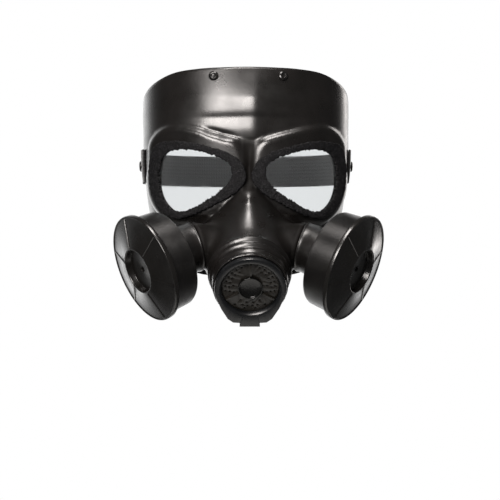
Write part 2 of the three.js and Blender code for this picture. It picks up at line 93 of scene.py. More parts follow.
room = bpy.data.worlds.new("white_room")
scene.world = room
room.use_nodes = True
room.node_tree.nodes.clear()
tree = room.node_tree
direction = add_node(tree, "ShaderNodeTexCoord")
parts = add_node(tree, "ShaderNodeSeparateXYZ", links={0: direction.outputs["Generated"]})
leftward = add_node(tree, "ShaderNodeMath", {"operation": "MULTIPLY_ADD", 1: -0.15}, {
    0: parts.outputs["X"], 2: parts.outputs["Y"]})
behind = add_node(tree, "ShaderNodeMapRange", {"From Min": 0.3, "From Max": 0.95}, {
    "Value": leftward.outputs[0]})
steep = add_node(tree, "ShaderNodeMath", {"operation": "POWER", 1: 4.5}, {
    0: behind.outputs[0]})
walls = add_node(tree, "ShaderNodeMath", {"operation": "MULTIPLY_ADD", 1: 1.9, 2: 0.07}, {
    0: steep.outputs[0]})
seen = add_node(tree, "ShaderNodeLightPath")
through = add_node(tree, "ShaderNodeMath", {"operation": "MAXIMUM"}, {
    0: seen.outputs["Is Camera Ray"], 1: seen.outputs["Is Transmission Ray"]})
plain = add_node(tree, "ShaderNodeMath", {"operation": "MAXIMUM"}, {
    0: through.outputs[0], 1: seen.outputs["Is Diffuse Ray"]})
level = add_node(tree, "ShaderNodeMix", {"data_type": "FLOAT", "B": 1.0}, {
    0: plain.outputs[0], 2: walls.outputs[0]})
sky = add_node(tree, "ShaderNodeBackground", {"Color": (1, 1, 1, 1)}, {
    "Strength": level.outputs[0]})
add_node(tree, "ShaderNodeOutputWorld", links={"Surface": sky.outputs[0]})

bpy.ops.mesh.primitive_circle_add(vertices=128, radius=0.9, fill_type="NGON",
                                  location=(0, 0.1, -1.5))
floor = bpy.context.object
floor.name = "floor"
painted = bpy.data.materials.new("painted_floor")
painted.use_nodes = True
painted.node_tree.nodes["Principled BSDF"].inputs["Base Color"].default_value = hex_color("e6e4e0")
painted.node_tree.nodes["Principled BSDF"].inputs["Roughness"].default_value = 0.7
floor.data.materials.append(painted)

# Face shell: one moulded sheet of soft black PVC, 2 mm thick. It is a wide forehead band with
# raised goggle plates, a nose cone that runs into a ridged mouth cup, and a round port on each
# cheek. The moulding leaves soft edges, a level fold, a crease and a fine leather grain.
half_width, brow_depth, axis_y, top_height, wrap_angle = 88.5, 87, -20, 85, 101
lens_x, lens_z, lens_scale = 42.3, -8.3, 30.3
goggle_front, goggle_back, plate_tilt = 109, 44, 0.05
cup_radius, cup_length = 33.6, 27
# Level sections: height, share of half width, share of depth, roundness.
sections = [
    (120, 0.955, 0.78, 2.3), (86, 0.985, 0.885, 2.3), (62, 1.0, 0.955, 2.3),
    (48, 1.003, 0.972, 2.35), (34, 1.0, 0.985, 2.45), (20, 0.998, 0.962, 2.6),
    (-2, 0.985, 0.942, 2.8),
    (-30, 0.945, 0.93, 2.6), (-60, 0.885, 0.91, 2.35), (-95, 0.8, 0.86, 2.3),
    (-130, 0.72, 0.8, 2.3)]
# Edges by turning angle: angle, upper edge as a share of the top height, lower edge in mm.
edges = [
    (0, 1.0, -90), (18, 0.994, -88), (30, 0.985, -87), (45, 0.955, -80), (60, 0.875, -66),
    (74, 0.785, -52), (86, 0.71, -41), (101, 0.64, -34), (115, 0.6, -30)]
# Round the opening's centre: angle from the outer side, radius of the opening, of the foam band
# and of the raised plate, as shares of the opening's outer radius.
outlines = [
    (0, 1.0, 1.277, 1.35), (20, 1.043, 1.35, 1.41), (40, 1.08, 1.45, 1.67),
    (60, 0.934, 1.215, 1.66), (80, 0.802, 1.013, 1.42), (100, 0.752, 0.934, 1.3),
    (120, 0.756, 0.957, 1.34), (140, 0.848, 1.096, 1.48), (160, 0.97, 1.25, 1.38),
    (180, 0.9, 1.25, 1.3), (200, 0.74, 1.075, 1.2), (220, 0.657, 0.911, 1.07),
    (240, 0.627, 0.852, 1.02), (260, 0.677, 0.885, 1.05), (280, 0.822, 1.023, 1.18),
    (300, 1.007, 1.224, 1.34), (320, 1.033, 1.274, 1.37), (340, 1.01, 1.274, 1.36)]
# Nose and mouth: distance behind the cup's root, half width, height above, height below as
# shares of the cup's radius, and roundness.
snout = [
    (0, 1.0, 0.97, 1.0, 2.0), (10, 1.06, 1.0, 0.99, 1.9), (20, 1.13, 1.08, 0.975, 1.65),
    (30, 1.2, 1.2, 0.955, 1.45), (42, 1.28, 1.3, 0.93, 1.35), (60, 1.36, 1.46, 0.9, 1.3)]
# Ridges of the mouth cup: distance behind the valve's front plane, share of the cup's radius.
cup_ridges = [
    (31, 0.96), (27.6, 0.99), (26.6, 1.018), (25.4, 1.02), (24.2, 0.985), (22.8, 0.948),
    (21.2, 0.948), (20, 0.975), (19, 0.983), (18, 0.955), (16.6, 0.915), (14.4, 0.91),
    (13, 0.92), (11.6, 0.905), (9.4, 0.882), (8.2, 0.885), (7.2, 0.908), (6.2, 0.912),
    (5.4, 0.895), (4.7, 0.87)]


def read(table, key, loop=0):
    """Smooth reading of a table by its first column; the keys may be an array."""
    rows = np.array(table, float)
    if loop:
        before, after = rows[-2:].copy(), rows[:2].copy()
        before[:, 0] -= loop
        after[:, 0] += loop
        rows = np.vstack([before, rows, after])
        key = np.mod(key, loop)
    if rows[-1, 0] < rows[0, 0]:
        rows = rows[::-1]
    keys, values = rows[:, 0], rows[:, 1:]
    slopes = np.zeros_like(values)
    slopes[1:-1] = (values[2:] - values[:-2]) / (keys[2:] - keys[:-2])[:, None]
    key = np.clip(np.asarray(key, float), keys[0], keys[-1])
    i = np.clip(np.searchsorted(keys, key, side="right") - 1, 0, len(keys) - 2)
    span = keys[i + 1] - keys[i]
    t = ((key - keys[i]) / span)[..., None]
    span = span[..., None]
    return ((2 * t**3 - 3 * t**2 + 1) * values[i] + (t**3 - 2 * t**2 + t) * span * slopes[i]
            + (3 * t**2 - 2 * t**3) * values[i + 1] + (t**3 - t**2) * span * slopes[i + 1])


def frame_at(origin, axis, up=(0, 0, 1)):
    """A placement in mm with its Z along the axis and its Y as near to up as it goes."""
    z = Vector(axis).normalized()
    x = Vector(up).cross(z).normalized()
    y = z.cross(x)
    place = Matrix((x, y, z)).transposed().to_4x4()
    place.translation = Vector(origin)
    return place


def placed(place, points):
    """Points in mm, an array with three columns, moved by the placement."""
    m = np.array(place)
    return points @ m[:3, :3].T + m[:3, 3]


def band_radius(angle, z):
    """Distance of the forehead band from its turning axis, with the fold and the crease."""
    width, depth, power = np.moveaxis(read(sections, z), -1, 0)
    s, c = np.abs(np.sin(angle)), np.abs(np.cos(angle))
    r = ((s / (half_width * width)) ** power + (c / (brow_depth * depth)) ** power) ** (-1 / power)
    side = np.degrees(np.abs(angle))
    across = np.clip((46 - side) / 26, 0, 1)
    below = z - 41.5 + side * 0.03
    r = r - 1.3 * across * np.exp(-(below / (8.7 - 3.7 * np.tanh(below / 2))) ** 2)
    upright = np.clip((top_height - z) / 26, 0, 1) * np.clip((z - 12) / 14, 0, 1)
    lean = 2 + 0.05 * (z - 20)
    away = np.hypot(np.degrees(angle) - lean, 3) - 3
    return r + 2.4 * upright * np.exp(-away / 9)


def edge_heights(angle):
    """Upper and lower edge of the shell at a turning angle."""
    top, bottom = np.moveaxis(read(edges, np.degrees(np.abs(angle))), -1, 0)
    return top * top_height, bottom


def plate_front(x, z, back=0):
    """A point of the goggle plates' front, or of a surface that lies behind it."""
    share = np.abs(x) / half_width
    y = -goggle_front + goggle_back * (0.38 * share**2 + 0.62 * share**3) - plate_tilt * z
    slope = np.sign(x) * goggle_back * (0.76 * share + 1.86 * share**2) / half_width
    n = np.stack([slope, -np.ones_like(slope), np.full_like(slope, -plate_tilt)], -1)
    n /= np.linalg.norm(n, axis=-1, keepdims=True)
    return np.stack([x, y, np.broadcast_to(z, np.shape(x))], -1) - n * np.expand_dims(back, -1)


def outline_at(angle, column, grow=0):
    """Front view of an outline: x and z for angles in radians round the opening's centre."""
    r = read(outlines, np.degrees(angle), 360)[..., column] * lens_scale + grow
    return lens_x + r * np.cos(angle), lens_z + r * np.sin(angle)


def new_piece(name, points, faces):
    """A mesh object from points in mm and faces."""
    mesh = bpy.data.meshes.new(name)
    mesh.from_pydata([tuple(p) for p in np.asarray(points) * MM], [], faces)
    made = bpy.data.objects.new(name, mesh)
    scene.collection.objects.link(made)
    return made


def ring_faces(rows, count, looped=False, ends=True):
    """Quads between closed rings of points, with flat ends or joined to a loop."""
    faces = []
    for r in range(rows if looped else rows - 1):
        low, high = r * count, (r + 1) % rows * count
        for i in range(count):
            j = (i + 1) % count
            faces.append((low + i, low + j, high + j, high + i))
    if ends and not looped:
        faces.append(tuple(reversed(range(count))))
        faces.append(tuple(range((rows - 1) * count, rows * count)))
    return faces


def only(*objects):
    """Selects just these objects, the last one active."""
    bpy.ops.object.select_all(action="DESELECT")
    for o in objects:
        o.select_set(True)
        bpy.context.view_layer.objects.active = o


def finish_modifier(piece, kind, settings):
    """Adds a modifier to the piece and applies it."""
    only(piece)
    modifier = piece.modifiers.new(kind.lower(), kind)
    for key, value in settings.items():
        setattr(modifier, key, value)
    bpy.ops.object.modifier_apply(modifier=modifier.name)


def outward(piece, merge=0.001):
    """Merges points closer than merge in mm and turns all faces outwards."""
    only(piece)
    bpy.ops.object.mode_set(mode="EDIT")
    bpy.ops.mesh.select_all(action="SELECT")
    bpy.ops.mesh.remove_doubles(threshold=merge * MM)
    bpy.ops.mesh.normals_make_consistent(inside=False)
    bpy.ops.object.mode_set(mode="OBJECT")


def circle(count):
    """Even angles once round."""
    return np.arange(count) * 2 * math.pi / count


def on_one_side(points):
    """Points with those of the left half mirrored to the right-hand one."""
    return np.abs(points) * [1, 0, 0] + points * [0, 1, 1]


def past_outline(points, column):
    """How far points lie past an outline of the goggle plates, seen from the front, in mm."""
    x, z = np.abs(points[:, 0]) - lens_x, points[:, 2] - lens_z
    edge = lens_scale * read(outlines, np.degrees(np.arctan2(z, x)), 360)[:, column]
    return np.hypot(x, z) - edge


cup_tilt = math.radians(32)
cup_place = frame_at((0, -153.4, -99.1), (0, -math.cos(cup_tilt), -math.sin(cup_tilt)))
port_bore, mouth_depth = 15, 4.65
port_axis = Vector((0.93, -0.26, -0.26)).normalized()
port_place = frame_at((43.6, -112, -64.1), port_axis)
mirror = np.array([-1, 1, 1])

# The volumes that the sheet wraps, each a closed form, are joined and skinned again as one.
extra = 8
turn = math.radians(wrap_angle + extra * 1.5)
columns = []
for angle in np.linspace(-turn, turn, 240):
    top, bottom = edge_heights(angle)
    z = np.linspace(bottom - extra, top + extra, 150)
    r = band_radius(np.full_like(z, angle), z)
    skin = np.stack([r * math.sin(angle), axis_y - r * math.cos(angle), z], -1)
    core = np.stack([z * 0, z * 0 + axis_y + 3, z], -1)
    columns.append(np.vstack([skin, core[::-15]]))
band_points = np.array(columns)
volumes = [new_piece("band", band_points.reshape(-1, 3),
                     ring_faces(len(band_points), band_points.shape[1]))]
around = circle(160)
for side in (1, -1):
    rings = []
    for share in np.concatenate([np.linspace(0.05, 0.85, 10), np.linspace(0.88, 1, 8)]):
        x, z = outline_at(around, 2, -2.4)
        x = np.maximum(x, 2.8)
        lip = -0.35 * math.exp(-((share - 0.985) / 0.03)**2) * np.clip(
            np.sin(around - 0.35) * 4, 0, 1) * np.clip((2.2 - around) / 0.5, 0, 1)
        rings.append(plate_front(lens_x + (x - lens_x) * share, lens_z + (z - lens_z) * share,
                                 lip))
    for grow, back in ((-0.4, 0.7), (0.8, 2.4), (1.5, 5), (2, 9)):
        x, z = outline_at(around, 2, grow)
        ring = plate_front(np.maximum(x, 2.2 - grow * 0.4), z)
        rings.append(ring + [0, back, 0])
    last = rings[-1].copy()
    last[:, 0] = lens_x + (last[:, 0] - lens_x) * 0.9
    last[:, 1] = axis_y - 22
    rings.append(last)
    goggle = np.array(rings) * (mirror if side < 0 else 1)
    volumes.append(new_piece("goggle", goggle.reshape(-1, 3), ring_faces(len(goggle), 160)))
rings = []
for z in np.linspace(-29, 32, 50):
    x = np.linspace(-1, 1, 25) * (9.5 - 3.5 * math.exp(-((z + 30) / 12)**2))
    sunk = 2 * min(max((8 - z) / 8, 0), 1)
    front = np.stack([x, -106.5 + (x / 10)**2 * 1.2 + sunk, np.full_like(x, z)], -1)
    rings.append(np.vstack([front, [(x[-1], axis_y - 60, z), (x[0], axis_y - 60, z)]]))
volumes.append(new_piece("bridge", np.vstack(rings), ring_faces(50, 27)))
rings = []
for back in np.linspace(-1, 60, 40):
    width, above, below, power = read(snout, max(back, 0))
    c, s = np.cos(around), np.sin(around)
    p = np.where(s > 0, power, 2)
    x = width * cup_radius * np.sign(c) * np.abs(c) ** (2 / p)
    y = np.where(s > 0, above, below) * cup_radius * np.sign(s) * np.abs(s) ** (2 / p)
    rings.append(placed(cup_place, np.stack([x, y, np.full_like(x, -cup_length - back)], -1)))
volumes.append(new_piece("nose", np.array(rings).reshape(-1, 3), ring_faces(40, 160)))
depth = np.linspace(31, 4.7, 60)
shares = read(cup_ridges, depth)[:, 0]
rings = [placed(cup_place, np.stack([
    share * cup_radius * np.cos(around), share * cup_radius * np.sin(around),
    np.full_like(around, -back)], -1)) for back, share in zip(depth, shares)]
rings.append(placed(cup_place, np.stack([
    29.3 * np.cos(around), 29.3 * np.sin(around), np.full_like(around, 4)], -1)))
volumes.append(new_piece("cup", np.array(rings).reshape(-1, 3), ring_faces(len(rings), 160)))
for side in (1, -1):
    rings = [placed(port_place, np.stack([
        r * np.cos(around), r * np.sin(around), np.full_like(around, h)], -1))
        for r, h in ((14, -20), (16, -14), (18.3, -8), (19.8, -3), (19.5, -0.8), (18.6, 0))]
    port = np.array(rings) * (mirror if side < 0 else 1)
    volumes.append(new_piece("port", port.reshape(-1, 3), ring_faces(6, 160)))
    bpy.ops.mesh.primitive_uv_sphere_add(segments=64, ring_count=40, radius=MM,
                                         location=(side * 30 * MM, -113 * MM, -64 * MM),
                                         scale=(14, 16.5, 16))
    bpy.ops.object.transform_apply(location=True, rotation=True, scale=True)
    volumes.append(bpy.context.object)
for volume in volumes:
    outward(volume)
only(*volumes)
bpy.ops.object.join()
face_shell = bpy.context.object
face_shell.name = face_shell.data.name = "soft_face_shell"
finish_modifier(face_shell, "REMESH", {"mode": "VOXEL", "voxel_size": 1.2 * MM})


def points_of(piece):
    """The piece's points in mm."""
    flat = np.empty(3 * len(piece.data.vertices))
    piece.data.vertices.foreach_get("co", flat)
    return flat.reshape(-1, 3) / MM


def move_points(piece, points):
    """Puts the piece's points at these places in mm."""
    piece.data.vertices.foreach_set("co", (points * MM).ravel())
    piece.data.update()


def in_frame(place, points):
    """Points in mm as the placement sees them."""
    m = np.array(place)
    return (points - m[:3, 3]) @ m[:3, :3]


def turning(points):
    """Turning angle and distance from the band's axis."""
    return (np.arctan2(points[:, 0], axis_y - points[:, 1]),
            np.hypot(points[:, 0], axis_y - points[:, 1]))


# Joints of the moulding flow into each other; the cup's ridges and the band stay crisp.
points = points_of(face_shell)
angle, reach = turning(points)
seen_by_cup = in_frame(cup_place, points)
at_cup = (seen_by_cup[:, 2] > -29) & (np.hypot(seen_by_cup[:, 0], seen_by_cup[:, 1]) < 40)
off_band = np.abs(reach - band_radius(angle, points[:, 2]))
by_port = in_frame(port_place, on_one_side(points))
port_rim = (by_port[:, 2] > -4) & (np.hypot(by_port[:, 0], by_port[:, 1]) < 23)
cheek = np.clip((44 - np.linalg.norm(by_port + [0, 0, 8], axis=1)) / 10, 0, 1) * ~port_rim
cheek *= ~at_cup & (points[:, 2] < -38)


def soften(weight, times):
    """Smooths the shell by a share of its own at each point."""
    soft = face_shell.vertex_groups.new(name="soft")
    shares = np.round(weight, 1)
    for level in np.unique(shares[shares > 0]):
        soft.add(np.flatnonzero(shares == level).tolist(), float(level), "REPLACE")
    finish_modifier(face_shell, "SMOOTH", {
        "factor": 0.5, "iterations": times, "vertex_group": "soft"})
    face_shell.vertex_groups.remove(face_shell.vertex_groups["soft"])


soften(np.where(at_cup | port_rim, 0.1, np.clip(off_band / 1.5, 0.2, 0.7)), 9)
soften(cheek, 150)
by_nose = in_frame(cup_place, points)
ridge = np.clip((15 - np.abs(points[:, 0])) / 8, 0, 1) * np.clip((-33 - by_nose[:, 2]) / 6, 0, 1)
ridge *= (points[:, 1] < -108) & (points[:, 2] < -27)
bridge = np.clip((13 - np.abs(points[:, 0])) / 6, 0, 1) * (points[:, 1] < -100)
bridge *= np.clip((points[:, 2] + 26) / 4, 0, 1) * np.clip((36 - points[:, 2]) / 10, 0, 1)
soften(np.maximum(ridge, bridge * 0.4), 110)
points = points_of(face_shell)
angle, reach = turning(points)
true_reach = band_radius(angle, points[:, 2])
pull = np.clip((1.0 - np.abs(reach - true_reach)) / 0.7, 0, 1)
clear = past_outline(points, 2)
outer_part = np.clip((np.abs(points[:, 0]) - 14) / 8, 0, 1)
high = np.clip((points[:, 2] - 30) / 6, 0, 1) * (1 - outer_part)
high += np.clip((points[:, 2] + 5) / 15, 0, 1) * outer_part
high *= np.clip((clear - 0.5) / 4, 0, 1) * (np.abs(reach - true_reach) < 4)
pull = np.maximum(pull, high)
ratio = 1 + pull * (true_reach / np.maximum(reach, 1) - 1)
points[:, 0] *= ratio
points[:, 1] = axis_y + (points[:, 1] - axis_y) * ratio
front = plate_front(points[:, 0], points[:, 2])[:, 1]
pull = np.clip((1.0 - np.abs(points[:, 1] - front)) / 0.7, 0, 1)
pull *= np.clip((-8 - past_outline(points, 2)) / 3, 0, 1)
points[:, 1] += pull * (front - points[:, 1])
in_cup = in_frame(cup_place, points)
radius = np.hypot(in_cup[:, 0], in_cup[:, 1])
ridged = cup_radius * read(cup_ridges, -in_cup[:, 2])[:, 0]
pull = np.clip((1.5 - np.abs(radius - ridged)) / 0.7, 0, 1)
pull *= (in_cup[:, 2] > -28) & (in_cup[:, 2] < -5.2)
in_cup[:, :2] *= (1 + pull * (ridged / np.maximum(radius, 1) - 1))[:, None]
points = placed(cup_place, in_cup)
move_points(face_shell, points)
crest = np.clip((4.5 - np.abs(clear + 0.5)) / 2, 0, 1) * (points[:, 2] > 6)
soften(crest * (points[:, 1] < -70) * 0.8, 30)
# A soft dent lies over the brow ridge on one side, and a small cleft between the eyes.
points = points_of(face_shell)
across = ((points[:, 0] + 25) * 0.96 + (points[:, 2] - 28.3) * -0.27) / 12
upward = ((points[:, 2] - 28.3) * 0.96 + (points[:, 0] + 25) * 0.27) / 3.4
dent = 1.8 * np.exp(-across**4 - upward**2) * (points[:, 1] < -60)
cleft = 0.5 * np.exp(-((points[:, 0] - 0.5) / 2)**2 - ((points[:, 2] - 4) / 8)**2)
cleft *= points[:, 1] < -100
points[:, 1] += dent + cleft
move_points(face_shell, points)

# The edges, the eye openings, the ports and the mouth are cut, then trimmed to their lines.
chin = [(-122, -160), (-111, -104), (-100, -91), (-82, -88), (10, -88)]


def chin_line(points):
    """Side view of the chin's line: how far past it each point lies, and the nearest spot."""
    flat = points[:, 1:]
    best, spot = np.full(len(flat), 1e9), np.zeros_like(flat)
    for a, b in zip(np.array(chin, float), np.array(chin[1:], float)):
        share = np.clip((flat - a) @ (b - a) / ((b - a) @ (b - a)), 0, 1)
        near = a + share[:, None] * (b - a)
        away = np.linalg.norm(flat - near, axis=1)
        closer = away < best
        best[closer], spot[closer] = away[closer], near[closer]
    line = np.interp(flat[:, 0], [c[0] for c in chin], [c[1] for c in chin], left=-999)
    return np.where(flat[:, 1] < line, best, -best), spot


def overshoots(points):
    """How far each point lies past each cut line, in mm; below zero it is kept."""
    angle, _ = turning(points)
    top, bottom = edge_heights(angle)
    low = np.where(points[:, 1] > -99, bottom, -999)
    eye = 1 - past_outline(points, 0)
    eye[points[:, 1] > -55] = -99
    port = in_frame(port_place, on_one_side(points))
    bore = port_bore - np.hypot(port[:, 0], port[:, 1])
    bore[(port[:, 2] < -4) | (port[:, 2] > 6)] = -99
    cup = in_frame(cup_place, points)
    mouth = cup[:, 2] + mouth_depth
    mouth[np.hypot(cup[:, 0], cup[:, 1]) > 34] = -99
    wrap = (np.degrees(np.abs(angle)) - wrap_angle) * 1.5
    return np.stack([points[:, 2] - top, low - points[:, 2], wrap, eye, bore, mouth,
                     chin_line(points)[0]], -1)


past = overshoots(points)
angle, reach = turning(points)
inside = (reach < band_radius(angle, points[:, 2]) - 22) & (points[:, 1] > -80)
doomed = (past.max(axis=1) > -0.25) | inside
only(face_shell)
shaping = bmesh.new()
shaping.from_mesh(face_shell.data)
shaping.verts.ensure_lookup_table()
bmesh.ops.delete(shaping, geom=[shaping.verts[i] for i in np.flatnonzero(doomed)],
                 context="VERTS")
loose = [v for v in shaping.verts if not v.link_faces]
bmesh.ops.delete(shaping, geom=loose, context="VERTS")
shaping.to_mesh(face_shell.data)
shaping.free()
bpy.ops.object.mode_set(mode="EDIT")
bpy.ops.mesh.select_all(action="DESELECT")
bpy.ops.mesh.select_non_manifold()
bpy.ops.object.mode_set(mode="OBJECT")
border = np.array([v.index for v in face_shell.data.vertices if v.select])
points = points_of(face_shell)
edge_points = points[border]
nearest = np.argmax(overshoots(edge_points), axis=1)
angle, reach = turning(edge_points)
top, bottom = edge_heights(angle)
over = overshoots(edge_points)
for line in range(7):
    use = nearest == line
    if not use.any():
        continue
    part = edge_points[use]
    if line == 0:
        part[:, 2] = top[use]
        r = band_radius(angle[use], part[:, 2])
        part[:, 0], part[:, 1] = r * np.sin(angle[use]), axis_y - r * np.cos(angle[use])
    elif line == 1:
        part[:, 2] += over[use, 1]
    elif line == 2:
        turned = np.sign(angle[use]) * math.radians(wrap_angle)
        r = band_radius(turned, part[:, 2])
        part[:, 0], part[:, 1] = r * np.sin(turned), axis_y - r * np.cos(turned)
    elif line == 3:
        side = np.sign(part[:, 0])
        a = np.arctan2(part[:, 2] - lens_z, np.abs(part[:, 0]) - lens_x)
        x, z = outline_at(a, 0, 1)
        part[:] = plate_front(x, z)
        part[:, 0] *= side
    elif line == 4:
        side = np.sign(part[:, 0])
        flat = in_frame(port_place, on_one_side(part))
        flat[:, :2] *= port_bore / np.hypot(flat[:, 0], flat[:, 1])[:, None]
        flat[:, 2] = 0
        part[:] = placed(port_place, flat)
        part[:, 0] *= side
    elif line == 5:
        flat = in_frame(cup_place, part)
        flat[:, 2] = -mouth_depth
        part[:] = placed(cup_place, flat)
    else:
        part[:, 1:] = chin_line(part)[1]
    edge_points[use] = part
points[border] = edge_points
move_points(face_shell, points)
outward(face_shell, 0.15)
finish_modifier(face_shell, "SOLIDIFY", {"thickness": 2 * MM, "offset": -1})
bpy.ops.object.shade_smooth()
# The upper edge is trimmed level. In the hollows between the plates and beside the cup the vinyl
# is made rougher and its reflection is turned down, a painted shade that darkens them.
points = points_of(face_shell)
points[:, 2] = np.minimum(points[:, 2], edge_heights(turning(points)[0])[0])
move_points(face_shell, points)
between = np.clip((7 - np.abs(points[:, 0])) / 3, 0, 1) * (points[:, 1] < -95)
between *= np.clip((points[:, 2] + 23) / 5, 0, 1) * np.clip((34 - points[:, 2]) / 14, 0, 1)
beside = np.clip(2.2 - np.linalg.norm((on_one_side(points) - [34, -124, -60]) / 12, axis=1),
                 0, 1)
painted_shade_hollow = face_shell.data.attributes.new("painted_shade_hollow", "FLOAT", "POINT")
painted_shade_hollow.data.foreach_set("value", np.maximum(between, beside))


def surface(name):
    """A new material with one shader and its output, and its coordinates in metres."""
    made = bpy.data.materials.new(name)
    made.use_nodes = True
    made.node_tree.nodes.clear()
    shader = add_node(made.node_tree, "ShaderNodeBsdfPrincipled")
    add_node(made.node_tree, "ShaderNodeOutputMaterial", links={"Surface": shader.outputs[0]})
    where = add_node(made.node_tree, "ShaderNodeTexCoord").outputs["Object"]
    return made, made.node_tree, shader, where


def blotches(tree, where, size, low, high, detail=3):
    """Soft cloudy values between low and high; size in mm."""
    cloud = add_node(tree, "ShaderNodeTexNoise", {
        "Scale": 1000 / size, "Detail": detail, "Roughness": 0.55}, {"Vector": where})
    return add_node(tree, "ShaderNodeMapRange", {
        "interpolation_type": "SMOOTHERSTEP",
        "From Min": 0.2, "From Max": 0.8, "To Min": low, "To Max": high},
        {"Value": cloud.outputs[0]}).outputs[0]


# Soft PVC, pressed in a grained mould: warm black and satin, with faint cloudy changes of gloss
# where it has been handled. In the hollows between the plates and beside the cup it is rougher and
# its reflection is turned down nearly to nothing, a painted shade. The real leather grain, about
# 1 mm across, is too fine to show: it is drawn 1.8 mm across and very shallow.
def pressed_vinyl():
    """Black plasticised PVC as it leaves the mould."""
    made, tree, shader, where = surface("shell_vinyl")
    shader.inputs["IOR"].default_value = 1.53
    tint = add_node(tree, "ShaderNodeMix", {
        "data_type": "RGBA", 6: hex_color("0a0908"), 7: hex_color("0f0d0c")}, {
        0: blotches(tree, where, 26, 0, 1)})
    tree.links.new(tint.outputs[2], shader.inputs["Base Color"])
    share = add_node(tree, "ShaderNodeAttribute", {"attribute_name": "painted_shade_hollow"}).outputs["Fac"]
    gloss = add_node(tree, "ShaderNodeMix", {"data_type": "FLOAT", "B": 0.58}, {
        0: share, 2: blotches(tree, where, 17, 0.25, 0.34, 5)})
    tree.links.new(gloss.outputs[0], shader.inputs["Roughness"])
    # Painted shade: in the hollows the reflection is turned down nearly to nothing, so they look
    # dark.
    painted_shade_level = add_node(tree, "ShaderNodeMapRange", {"To Min": 0.5, "To Max": 0.06}, {
        "Value": share})
    tree.links.new(painted_shade_level.outputs[0], shader.inputs["Specular IOR Level"])
    cells = add_node(tree, "ShaderNodeTexVoronoi", {
        "feature": "DISTANCE_TO_EDGE", "Scale": 1000 / 1.8}, {"Vector": where})
    edge = add_node(tree, "ShaderNodeMapRange", {"From Max": 0.2}, {"Value": cells.outputs[0]})
    grain = add_node(tree, "ShaderNodeBump", {"Distance": 0.012 * MM, "Strength": 1.0}, {
        "Height": edge.outputs[0]})
    tree.links.new(grain.outputs[0], shader.inputs["Normal"])
    return made


face_shell.data.materials.append(pressed_vinyl())
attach(face_shell, "root")
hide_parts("face_shell")

# Clear lenses: two sheets of 0.8 mm clear PVC, cut by hand a little larger than the eye openings
# and laid on the front of the goggle plates, under the foam bands.
sheet_gap, sheet, sheet_grow, sheet_nearest = 0.3, 0.8, 5, 4.6


def plate_loop(column, grow, back, count, nearest=0.6, share=1.0):
    """A ring of points on the right goggle plate along one of its outlines."""
    x, z = outline_at(circle(count), column, grow)
    x = lens_x + (np.maximum(x, nearest) - lens_x) * share
    return plate_front(x, lens_z + (z - lens_z) * share, back)


def mirrored(piece, name):
    """A copy for the mask's other side, with a mesh of its own."""
    only(piece)
    bpy.ops.object.duplicate(linked=False)
    copy = bpy.context.object
    copy.name = copy.data.name = name
    bpy.ops.transform.mirror(orient_type="GLOBAL", constraint_axis=(True, False, False),
                             center_override=(0, 0, 0))
    bpy.ops.object.transform_apply(location=True, rotation=True, scale=True)
    outward(copy)
    return copy


def clear_vinyl():
    """Clear PVC sheet: slightly smoky, with a faint haze and a slow ripple from rolling."""
    made, tree, shader, where = surface("clear_vinyl")
    shader.inputs["Base Color"].default_value = hex_color("e4e7e8")
    shader.inputs["IOR"].default_value = 1.53
    shader.inputs["Transmission Weight"].default_value = 1.0
    tree.links.new(blotches(tree, where, 22, 0.015, 0.07), shader.inputs["Roughness"])
    ripple = add_node(tree, "ShaderNodeBump", {"Distance": 0.1 * MM, "Strength": 1.0}, {
        "Height": blotches(tree, where, 30, 0, 1, 1)})
    tree.links.new(ripple.outputs[0], shader.inputs["Normal"])
    return made


lens_vinyl = clear_vinyl()
shares = (0.04, 0.3, 0.55, 0.75, 0.9, 1.0)
rings = [plate_loop(0, sheet_grow, back, 144, sheet_nearest, share)
         for back, row in ((-sheet_gap - sheet, shares), (-sheet_gap, shares[::-1]))
         for share in row]
lens_right = new_piece("clear_lens_right", np.vstack(rings), ring_faces(len(rings), 144))
outward(lens_right)
only(lens_right)
bpy.ops.object.shade_smooth_by_angle(angle=math.radians(40))
lens_left = mirrored(lens_right, "clear_lens_left")
for lens, node in ((lens_right, "lens_right"), (lens_left, "lens_left")):
    lens.data.materials.append(lens_vinyl)
    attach(lens, "root")
    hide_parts(node)

# Foam bands: self-adhesive black EVA foam, 3 mm thick, cut by hand to a band round each
# opening, so that its inner edge is slightly ragged, and pressed down over the clear sheet.
band_height = 3.0


def wobble(count, seed, waves, depth):
    """A closed row of small offsets, as a hand-held knife leaves them, in mm."""
    a = circle(count)
    return depth * np.array([noise.noise(Vector((
        math.cos(t) * waves, math.sin(t) * waves, seed))) for t in a])


